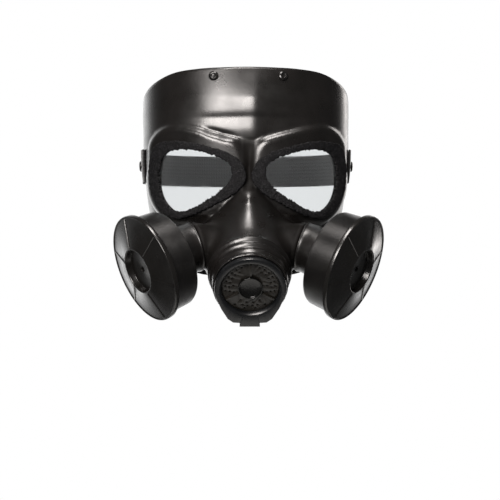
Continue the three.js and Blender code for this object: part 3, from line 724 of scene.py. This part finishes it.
def foam_band(name, side):
    """The foam band of one eye; side is 1 for the mask's right-hand one from the front."""
    count, low, over = 480, -sheet_gap, -2 * sheet_gap - sheet
    high = low - band_height
    inner = wobble(count, 3 + side, 14, 1.1) + wobble(count, 8 + side, 45, 0.9)
    outer = wobble(count, 12 + side, 14, 0.9)
    outer += 2.0 * np.exp(-((np.degrees(circle(count)) - 182) / 20)**2)
    crown = wobble(count, 20 + side, 9, 0.5)

    def loop(share, height, grow=0.0, nearest=0.6):
        x0, z0 = outline_at(circle(count), 0, inner)
        x1, z1 = outline_at(circle(count), 1, outer)
        x = x0 + (np.maximum(x1, 0.7) - x0) * share
        z = z0 + (z1 - z0) * share
        away = np.hypot(x - lens_x, z - lens_z)
        x, z = x + (x - lens_x) / away * grow, z + (z - lens_z) / away * grow
        return plate_front(np.maximum(x, nearest), z, height)

    top = high + crown * 0.4
    rings = [
        loop(0, over, 0.0), plate_loop(0, 5.6, over, count, 3.6),
        plate_loop(0, 5.6, low, count, 3.6), loop(1, low), loop(1, high + 1.1, 0.05),
        loop(1, top + 0.45, -0.12), loop(1, top + 0.1, -0.5), loop(1, top, -1.1),
        loop(0.72, top - 0.05), loop(0.5, top - 0.1), loop(0.28, top - 0.05),
        loop(0, top, 1.1), loop(0, top + 0.12, 0.45), loop(0, top + 0.5, 0.1),
        loop(0, high + 1.2, 0)]
    points = np.vstack(rings) * (mirror if side < 0 else 1)
    made = new_piece(name, points, ring_faces(len(rings), count, looped=True))
    outward(made)
    only(made)
    bpy.ops.object.shade_smooth_by_angle(angle=math.radians(50))
    return made


def eva_foam():
    """EVA foam: matt charcoal with a fine open skin of pores and pale specks of dust."""
    made, tree, shader, where = surface("eva_foam")
    pores = add_node(tree, "ShaderNodeTexVoronoi", {"Scale": 1000 / 1.1}, {"Vector": where})
    specks = add_node(tree, "ShaderNodeTexNoise", {
        "Scale": 1000 / 0.9, "Detail": 4}, {"Vector": where})
    pale = add_node(tree, "ShaderNodeMapRange", {
        "From Min": 0.5, "From Max": 0.7}, {"Value": specks.outputs[0]})
    tint = add_node(tree, "ShaderNodeMix", {
        "data_type": "RGBA", 6: hex_color("020203"), 7: hex_color("1f1e20")}, {
        0: pale.outputs[0]})
    tree.links.new(tint.outputs[2], shader.inputs["Base Color"])
    shader.inputs["Roughness"].default_value = 0.75
    shader.inputs["Specular IOR Level"].default_value = 0.16
    pits = add_node(tree, "ShaderNodeBump", {"Distance": 0.3 * MM, "Strength": 1.0}, {
        "Height": pores.outputs[0]})
    waves = add_node(tree, "ShaderNodeBump", {"Distance": 0.2 * MM, "Strength": 1.0}, {
        "Height": blotches(tree, where, 5, 0, 1, 2), "Normal": pits.outputs[0]})
    tree.links.new(waves.outputs[0], shader.inputs["Normal"])
    return made


foam = eva_foam()
for name, side in (("right", 1), ("left", -1)):
    gasket = foam_band("foam_band_" + name, side)
    gasket.data.materials.append(foam)
    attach(gasket, "root")
    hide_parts("lens_gasket_" + name)

# Mouth valve housing: one hard injection-moulded ring that plugs into the end of the mouth cup,
# with a straight-sided lower body and a small tab. Its funnel-shaped lip surrounds the grille.
valve_radius, grille_radius, grille_sink, boss_radius = 29.1, 23, 4, 10.1


def bevelled(piece, width, segments=3, angle=28):
    """Rounds the piece's hard edges by a width in mm, then smooths its faces."""
    finish_modifier(piece, "BEVEL", {
        "width": width * MM, "segments": segments, "limit_method": "ANGLE",
        "angle_limit": math.radians(angle), "harden_normals": False})
    only(piece)
    bpy.ops.object.shade_smooth_by_angle(angle=math.radians(32))


def polar_row(corners, count):
    """Radii of a closed outline of corners at even angles round its middle."""
    a = np.degrees(circle(count))
    corner_angle = np.degrees(np.arctan2([c[1] for c in corners], [c[0] for c in corners])) % 360
    order = np.argsort(corner_angle)
    xs = np.array([corners[i] for i in order])
    ca = corner_angle[order]
    low = np.searchsorted(ca, a, side="right") - 1
    p, q = xs[low], xs[(low + 1) % len(xs)]
    d = np.stack([np.cos(np.radians(a)), np.sin(np.radians(a))], -1)
    e = q - p
    cross = d[:, 0] * e[:, 1] - d[:, 1] * e[:, 0]
    return (p[:, 0] * e[:, 1] - p[:, 1] * e[:, 0]) / cross


def flat_ring(radii, height, place):
    """A ring of points with these radii (an array or one number) at a height."""
    a = circle(len(radii))
    return placed(place, np.stack([
        radii * np.cos(a), radii * np.sin(a), np.full_like(a, height)], -1))


R = valve_radius
corners = [(R * math.cos(t), R * math.sin(t)) for t in np.radians(np.arange(-12, 193, 3))]
corners += [(-0.81 * R, -0.64 * R), (-0.62 * R, -0.98 * R), (-0.47 * R, -1.1 * R),
            (-8, -1.1 * R - 0.4), (-8.4, -1.1 * R - 4), (8.4, -1.1 * R - 4),
            (8, -1.1 * R - 0.4), (0.47 * R, -1.1 * R), (0.62 * R, -0.98 * R),
            (0.81 * R, -0.64 * R)]
count = 720
outer = polar_row(corners, count)
flat = np.ones(count)
spigot, back = 0.875 * cup_radius - 2 - 0.6, -4.29
rings = [flat_ring(r, h, cup_place) for r, h in (
    (flat * 21, -7.1), (flat * 21, -12), (flat * spigot, -12), (flat * spigot, back),
    (outer, back), (outer, -0.9), (outer - 0.25, -0.3), (outer - 0.9, 0), (flat * 25.6, 0.0),
    (flat * 25.0, -0.12), (flat * 24.5, -0.5), (flat * 23.5, -1.6), (flat * 23.3, -2.1),
    (flat * 23.3, -7.1))]
valve = new_piece("valve_housing", np.vstack(rings), ring_faces(len(rings), count, looped=True))
outward(valve)
bevelled(valve, 0.18, 2, 50)


def hard_plastic(name, dark, light, gloss, dull, grooved=None):
    """Moulded black polypropylene: satin, with faint flow marks, and grooves round an axis."""
    made, tree, shader, where = surface(name)
    shader.inputs["IOR"].default_value = 1.49
    tint = add_node(tree, "ShaderNodeMix", {
        "data_type": "RGBA", 6: hex_color(dark), 7: hex_color(light)}, {
        0: blotches(tree, where, 14, 0, 1)})
    tree.links.new(tint.outputs[2], shader.inputs["Base Color"])
    tree.links.new(blotches(tree, where, 9, gloss, dull, 5), shader.inputs["Roughness"])
    skin = add_node(tree, "ShaderNodeBump", {"Distance": 0.02 * MM, "Strength": 1.0}, {
        "Height": blotches(tree, where, 1.6, 0, 1, 2)})
    tree.links.new(skin.outputs[0], shader.inputs["Normal"])
    if grooved:
        along = add_node(tree, "ShaderNodeCombineXYZ", dict(zip("XYZ", grooved)))
        tree.links.new(along.outputs[0], shader.inputs["Tangent"])
        shader.inputs["Anisotropic"].default_value = 0.85
    return made


housing_plastic = hard_plastic("housing_plastic", "08090a", "0c0d0f", 0.26, 0.36)
valve.data.materials.append(housing_plastic)
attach(valve, "root")
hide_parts("valve_ring")

# Grille: a thin moulded disc sunk in the housing, drilled by the mould's pins with two side
# groups and a lower group of small holes, and divided by three raised bars.
side_holes = [(20.3, 7, 78, 150), (17, 6, 72, 157), (13.8, 2, 26, 186)]
low_holes = [(20.6, 4, 74, 270), (17.7, 4, 40, 270), (14.4, 4, 64, 270)]


def rod(radius, low, high, place, sides=32):
    """A cylinder between two heights of a placement, in mm."""
    bpy.ops.mesh.primitive_cylinder_add(vertices=sides, radius=radius * MM,
                                        depth=(high - low) * MM, location=(0, 0, 0))
    made = bpy.context.object
    middle = place @ Matrix.Translation((0, 0, (low + high) / 2))
    middle.translation *= MM
    made.matrix_world = middle
    bpy.ops.object.transform_apply(location=True, rotation=True, scale=True)
    return made


def joined(pieces):
    """Several objects made into one."""
    only(*pieces)
    bpy.ops.object.join()
    return bpy.context.object


def cut_away(piece, tool, how="DIFFERENCE"):
    """Cuts the tool out of the piece, or adds it, and removes the tool."""
    finish_modifier(piece, "BOOLEAN", {"operation": how, "object": tool, "solver": "EXACT"})
    only(tool)
    bpy.ops.object.delete()


grille = rod(grille_radius, -grille_sink - 2.8, -grille_sink, cup_place, 144)
grille.name = grille.data.name = "valve_grille_plate"
cut_away(grille, rod(20.5, -grille_sink - 3.7, -grille_sink - 2, cup_place, 144), "UNION")
tools = []
for table, flips in ((side_holes, (1, -1)), (low_holes, (1,))):
    for radius, number, span, middle_angle in table:
        for flip in flips:
            for k in range(number):
                a = math.radians(middle_angle + span * (k / (number - 1) - 0.5))
                spot = Matrix.Translation((flip * radius * math.cos(a), radius * math.sin(a), 0))
                tools.append(rod(0.95, -grille_sink - 5, 0, cup_place @ spot, 16))
cut_away(grille, joined(tools))
for a in (90, 210, 330):
    turned_place = cup_place @ Matrix.Rotation(math.radians(a), 4, "Z")
    bpy.ops.mesh.primitive_cube_add(size=1, location=(0, 0, 0))
    bar = bpy.context.object
    size = Matrix.Diagonal((11.4 * MM, 1.8 * MM, 1.9 * MM, 1))
    spot = turned_place @ Matrix.Translation((16.8, 0, -grille_sink + 0.45))
    spot.translation *= MM
    bar.matrix_world = spot @ size
    bpy.ops.object.transform_apply(location=True, rotation=True, scale=True)
    cut_away(grille, bar, "UNION")
bevelled(grille, 0.12, 2, 40)
grille_plastic = hard_plastic("grille_plastic", "0c0a07", "110e0a", 0.32, 0.42)
grille.data.materials.append(grille_plastic)
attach(grille, "root")
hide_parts("valve_grille")

# Valve boss: a plain round button of glossy moulded plastic with a thin raised lip, pressed
# into the middle of the grille.


def spun(name, profile, place, steps=96, bevel=0.25):
    """A profile of (radius, height) in mm turned once round the placement's axis."""
    mesh = bpy.data.meshes.new(name)
    mesh.from_pydata([(r * MM, 0, h * MM) for r, h in profile],
                     [(i, i + 1) for i in range(len(profile) - 1)], [])
    made = bpy.data.objects.new(name, mesh)
    scene.collection.objects.link(made)
    only(made)
    bpy.ops.object.mode_set(mode="EDIT")
    bpy.ops.mesh.select_all(action="SELECT")
    bpy.ops.mesh.spin(steps=steps, angle=2 * math.pi, center=(0, 0, 0), axis=(0, 0, 1))
    bpy.ops.object.mode_set(mode="OBJECT")
    outward(made, 0.002)
    put = place.copy()
    put.translation *= MM
    made.matrix_world = put
    bpy.ops.object.transform_apply(location=True, rotation=True, scale=True)
    bevelled(made, bevel)
    return made


foot = -grille_sink + 0.3
boss = spun("valve_boss_button", [
    (0, foot), (boss_radius, foot), (boss_radius, foot + 2.2), (boss_radius - 1.1, foot + 2.2),
    (boss_radius - 1.6, foot + 0.9), (5, foot + 0.5), (0, foot + 0.4)], cup_place, 96, 0.25)
boss.data.materials.append(hard_plastic("boss_plastic", "050505", "080807", 0.14, 0.22))
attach(boss, "root")
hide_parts("valve_boss")

# Neck collars: short bent tubes, injection-moulded in satin hard plastic, that push on the cheek
# ports and carry the canisters; a thin bead finishes the inner end.
rim_centre = Vector((85.5, -137, -82))
canister_axis = Vector((0.819, -0.462, -0.342)).normalized()
canister_place = frame_at(rim_centre, canister_axis)
collar_radius, collar_wall, canister_back = 21, 2.5, -26
start = port_place.translation + port_axis * 0.3
end = rim_centre + canister_axis * (canister_back - 0.3)
handle = (end - start).length * 0.45
bend = [start, start + port_axis * handle, end - canister_axis * handle, end]


def on_bend(t):
    """A placement at a share of the way along the collar's middle line."""
    a, b, c, d = bend
    p = a * (1 - t)**3 + b * 3 * t * (1 - t)**2 + c * 3 * t * t * (1 - t) + d * t**3
    run = (b - a) * (1 - t)**2 + (c - b) * 2 * t * (1 - t) + (d - c) * t * t
    return frame_at(p, run)


steps = np.linspace(0, 1, 33)
bead = 0.45 * np.exp(-((steps - 0.035) / 0.02)**2)
ones = np.ones(96)
outside = [flat_ring(ones * (collar_radius - 0.45 + b), 0, on_bend(t))
           for t, b in zip(steps, bead)]
inside = [flat_ring(ones * (collar_radius - collar_wall), 0, on_bend(t)) for t in steps[::-2]]
rings = outside + inside
collar_right = new_piece("neck_tube_right", np.vstack(rings),
                         ring_faces(len(rings), 96, looped=True))
outward(collar_right)
bevelled(collar_right, 0.35, 3, 50)
collar_left = mirrored(collar_right, "neck_tube_left")
collar_plastic = hard_plastic("collar_plastic", "0b0a09", "100e0d", 0.28, 0.4)
for collar, node in ((collar_right, "neck_collar_right"), (collar_left, "neck_collar_left")):
    collar.data.materials.append(collar_plastic)
    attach(collar, "root")
    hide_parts(node)

# Canister drums: hard injection-moulded cups with a slight draft, joined to the neck behind and
# closed by the cover in front. Turning marks and a shut-off line run round the side.
canister_radius = 45
drum = canister_radius - 3.2
body_right = spun("canister_drum_right", [
    (15, -26), (drum - 4.4, -26), (drum - 2.6, -25.2), (drum - 1.7, -23.4), (drum - 0.3, -4.6),
    (drum, -3.7), (drum - 2, -3.7), (drum - 3.6, -21.8), (drum - 5, -24), (15, -24),
    (15, -26)], canister_place, 128, 0.3)
body_left = mirrored(body_right, "canister_drum_left")
for body, node, way in ((body_right, "canister_body_right", 1),
                        (body_left, "canister_body_left", -1)):
    grooved = (way * canister_axis.x, canister_axis.y, canister_axis.z)
    body.data.materials.append(hard_plastic(
        body.name + "_plastic", "0a0909", "0f0e0d", 0.36, 0.46, grooved))
    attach(body, "root")
    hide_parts(node)

# Canister covers: shallow moulded cones with a glossy lip, six raised ribs and a round pocket
# with a flat floor and a pin hole in its middle.
pocket_radius, cone_rise = 18.5, 6.5
r, p = canister_radius, pocket_radius
cap_right = spun("canister_cover_right", [
    (2.3, -1), (p + 1.5, -1), (p + 2.5, cone_rise - 3.4), (r - 4.5, -1.9), (r - 4.5, -3.4),
    (r, -3.4), (r + 0.05, -0.6), (r - 0.2, 0.3), (r - 0.6, 0.6), (r - 1.1, 0.5),
    (r - 1.5, -0.1), (p + 1.3, cone_rise - 0.45), (p + 0.6, cone_rise), (p - 0.1, cone_rise),
    (p - 0.5, cone_rise - 0.5), (p - 1.3, 1.5), (2.3, 1.5), (2.3, -1)],
    canister_place, 160, 0.25)
tools = []
for k in range(6):
    turned_place = canister_place @ Matrix.Rotation(math.radians(20 + 60 * k), 4, "Z")
    corners = []
    for x, h in ((p + 1.6, cone_rise - 0.75), (r - 2.2, 0.02)):
        corners += [(x, -1.1, h - 0.5), (x, 1.1, h - 0.5), (x, 0.5, h + 0.75), (x, -0.5, h + 0.75)]
    rib = new_piece("rib", placed(turned_place, np.array(corners)), ring_faces(2, 4))
    outward(rib)
    tools.append(rib)
cut_away(cap_right, joined(tools), "UNION")
only(cap_right)
bpy.ops.object.shade_smooth_by_angle(angle=math.radians(30))
cap_left = mirrored(cap_right, "canister_cover_left")
cover_plastic = hard_plastic("cover_plastic", "0c0b0a", "100f0e", 0.18, 0.28)
for cap, node in ((cap_right, "canister_cap_right"), (cap_left, "canister_cap_left")):
    cap.data.materials.append(cover_plastic)
    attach(cap, "root")
    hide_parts(node)

# Forehead eyelets: small black-enamelled steel rivets with a dished head and a dark middle,
# clenched through the upper edge.


def skin_place(angle, z):
    """A placement on the band's skin that looks outwards."""
    a, step = math.radians(angle), 0.01

    def at(f, h):
        d = float(band_radius(np.array(f), np.array(h)))
        return Vector((d * math.sin(f), axis_y - d * math.cos(f), h))
    normal = (at(a + step, z) - at(a - step, z)).cross(at(a, z + 1.5) - at(a, z - 1.5))
    return frame_at(at(a, z), normal)


def rivet(name, radius, place, lift, grip):
    """A dished rivet whose head starts at lift above the skin."""
    return spun(name, [
        (0, lift + 0.55), (radius * 0.3, lift + 0.6), (radius * 0.42, lift + 1.45),
        (radius * 0.6, lift + 1.65), (radius * 0.85, lift + 1.2), (radius * 0.98, lift + 0.5),
        (radius, lift), (1.5, lift), (1.5, -grip), (radius * 0.8, -grip),
        (radius * 0.7, -grip - 0.6), (0, -grip - 0.9)], place, 48, 0.12)


def enamelled_steel():
    """Stove-enamelled steel: a thin glossy black coat over metal, worn a little."""
    made, tree, shader, where = surface("enamelled_steel")
    tint = add_node(tree, "ShaderNodeMix", {
        "data_type": "RGBA", 6: hex_color("0c0c0d"), 7: hex_color("1a1918")}, {
        0: blotches(tree, where, 2.5, 0, 1)})
    tree.links.new(tint.outputs[2], shader.inputs["Base Color"])
    tree.links.new(blotches(tree, where, 2, 0.16, 0.3), shader.inputs["Roughness"])
    shader.inputs["Metallic"].default_value = 0.35
    return made


enamel = enamelled_steel()
eyelet_right = rivet("eyelet_right", 4.2, skin_place(20.6, top_height - 7.6), 0.3, 2.6)
eyelet_left = mirrored(eyelet_right, "eyelet_left")
for eyelet, node in ((eyelet_right, "forehead_rivet_right"), (eyelet_left, "forehead_rivet_left")):
    eyelet.data.materials.append(enamel)
    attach(eyelet, "root")
    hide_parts(node)

# Head strap: one loop of 28 mm black woven elastic, 1.5 mm thick, from temple to temple round
# the back of the head. The weave shows as fine ribs along its length.
strap_z, strap_width, strap_thick, strap_off, strap_start = 4.7, 28, 1.5, 0.75, 72
behind = [Vector((x, y, strap_z)) for x, y in (
    (84.8, 20), (77.5, 47), (60.5, 75), (32, 93.5), (0, 99), (-32, 93.5))]


def through(points, per_span):
    """A centripetal curve through the points, from the second to the last but one."""
    out = []
    for i in range(1, len(points) - 2):
        p0, p1, p2, p3 = points[i - 1:i + 3]
        t0 = 0
        t1 = t0 + (p1 - p0).length**0.5
        t2 = t1 + (p2 - p1).length**0.5
        t3 = t2 + (p3 - p2).length**0.5
        for k in range(per_span):
            t = t1 + (t2 - t1) * k / per_span
            a1 = p0 * ((t1 - t) / (t1 - t0)) + p1 * ((t - t0) / (t1 - t0))
            a2 = p1 * ((t2 - t) / (t2 - t1)) + p2 * ((t - t1) / (t2 - t1))
            a3 = p2 * ((t3 - t) / (t3 - t2)) + p3 * ((t - t2) / (t3 - t2))
            b1 = a1 * ((t2 - t) / (t2 - t0)) + a2 * ((t - t0) / (t2 - t0))
            b2 = a2 * ((t3 - t) / (t3 - t1)) + a3 * ((t - t1) / (t3 - t1))
            out.append(b1 * ((t2 - t) / (t2 - t1)) + b2 * ((t - t1) / (t2 - t1)))
    return out


tail_start = skin_place(100, strap_z) @ Vector((0, 0, strap_off))
before = skin_place(89.4, strap_z) @ Vector((0, 0, strap_off))
tail = through([before, tail_start] + behind, 14)[1:]
tail = [q for q in tail if q.y > tail_start.y + 2] + [Vector((0, 99, strap_z))]
levels = np.linspace(-0.5, 0.5, 15)
half = []
for a in np.linspace(strap_start, wrap_angle - 1, 24):
    places = [skin_place(a, strap_z + v * strap_width) for v in levels]
    half.append([[place @ Vector((0, 0, off)) for place in places]
                 for off in (strap_off, strap_off + strap_thick)])
for i, q in enumerate(tail):
    last = tail[i - 1] if i else tail_start
    following = tail[i + 1] if i + 1 < len(tail) else Vector((-tail[i - 1].x, tail[i - 1].y, q.z))
    along = following - last
    out = Vector((along.y, -along.x, 0)).normalized()
    inner = [q + Vector((0, 0, v * strap_width)) for v in levels]
    half.append((inner, [c + out * strap_thick for c in inner]))
whole = half + [([Vector((-c.x, c.y, c.z)) for c in a], [Vector((-c.x, c.y, c.z)) for c in b])
                for a, b in reversed(half[:-1])]
loops = [a + b[::-1] for a, b in whole]
points = np.array([tuple(c) for row in loops for c in row])
per_row = len(loops[0])
strap = new_piece("elastic_head_strap", points, ring_faces(len(loops), per_row))
middles = np.array([tuple(a[7]) for a, _ in whole])
run = np.concatenate([[0], np.cumsum(np.linalg.norm(np.diff(middles, axis=0), axis=1))])
cloth = strap.data.uv_layers.new(name="cloth")
index = np.array([l.vertex_index for l in strap.data.loops])
level_of = np.concatenate([levels, levels[::-1]])
uv = np.stack([run[index // per_row], level_of[index % per_row] * strap_width], -1) * MM
cloth.data.foreach_set("uv", uv.ravel())
outward(strap)
bevelled(strap, 0.4, 3, 50)


def woven_elastic():
    """Woven polyester elastic: matt black, ribbed lengthwise, with short cross stitches."""
    made, tree, shader, where = surface("woven_elastic")
    cloth_map = add_node(tree, "ShaderNodeUVMap", {"uv_map": "cloth"}).outputs[0]
    ribs = add_node(tree, "ShaderNodeTexWave", {
        "bands_direction": "Y", "Scale": 1000 / 1.6 / 3.1416 / 2, "Distortion": 0.4},
        {"Vector": cloth_map})
    picks = add_node(tree, "ShaderNodeTexWave", {
        "bands_direction": "X", "Scale": 1000 / 1.2 / 3.1416 / 2, "Distortion": 0.8},
        {"Vector": cloth_map})
    weave = add_node(tree, "ShaderNodeMath", {"operation": "MULTIPLY"}, {
        0: ribs.outputs[1], 1: picks.outputs[1]})
    tint = add_node(tree, "ShaderNodeMix", {
        "data_type": "RGBA", 6: hex_color("070708"), 7: hex_color("151516")}, {
        0: weave.outputs[0]})
    tree.links.new(tint.outputs[2], shader.inputs["Base Color"])
    shader.inputs["Roughness"].default_value = 0.8
    shader.inputs["Sheen Weight"].default_value = 0.12
    relief = add_node(tree, "ShaderNodeBump", {"Distance": 0.2 * MM, "Strength": 1.0}, {
        "Height": weave.outputs[0]})
    tree.links.new(relief.outputs[0], shader.inputs["Normal"])
    return made


strap.data.materials.append(woven_elastic())
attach(strap, "root")
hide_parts("head_strap")

# Strap rivets: the same enamelled steel rivets, a size larger, clenched through the strap's
# ends and the shell at the temples.
stud_right = rivet("strap_stud_right", 4.6, skin_place(81, strap_z), 2.55, 2.9)
stud_left = mirrored(stud_right, "strap_stud_left")
for stud, node in ((stud_right, "strap_rivet_right"), (stud_left, "strap_rivet_left")):
    stud.data.materials.append(enamel)
    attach(stud, "root")
    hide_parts(node)
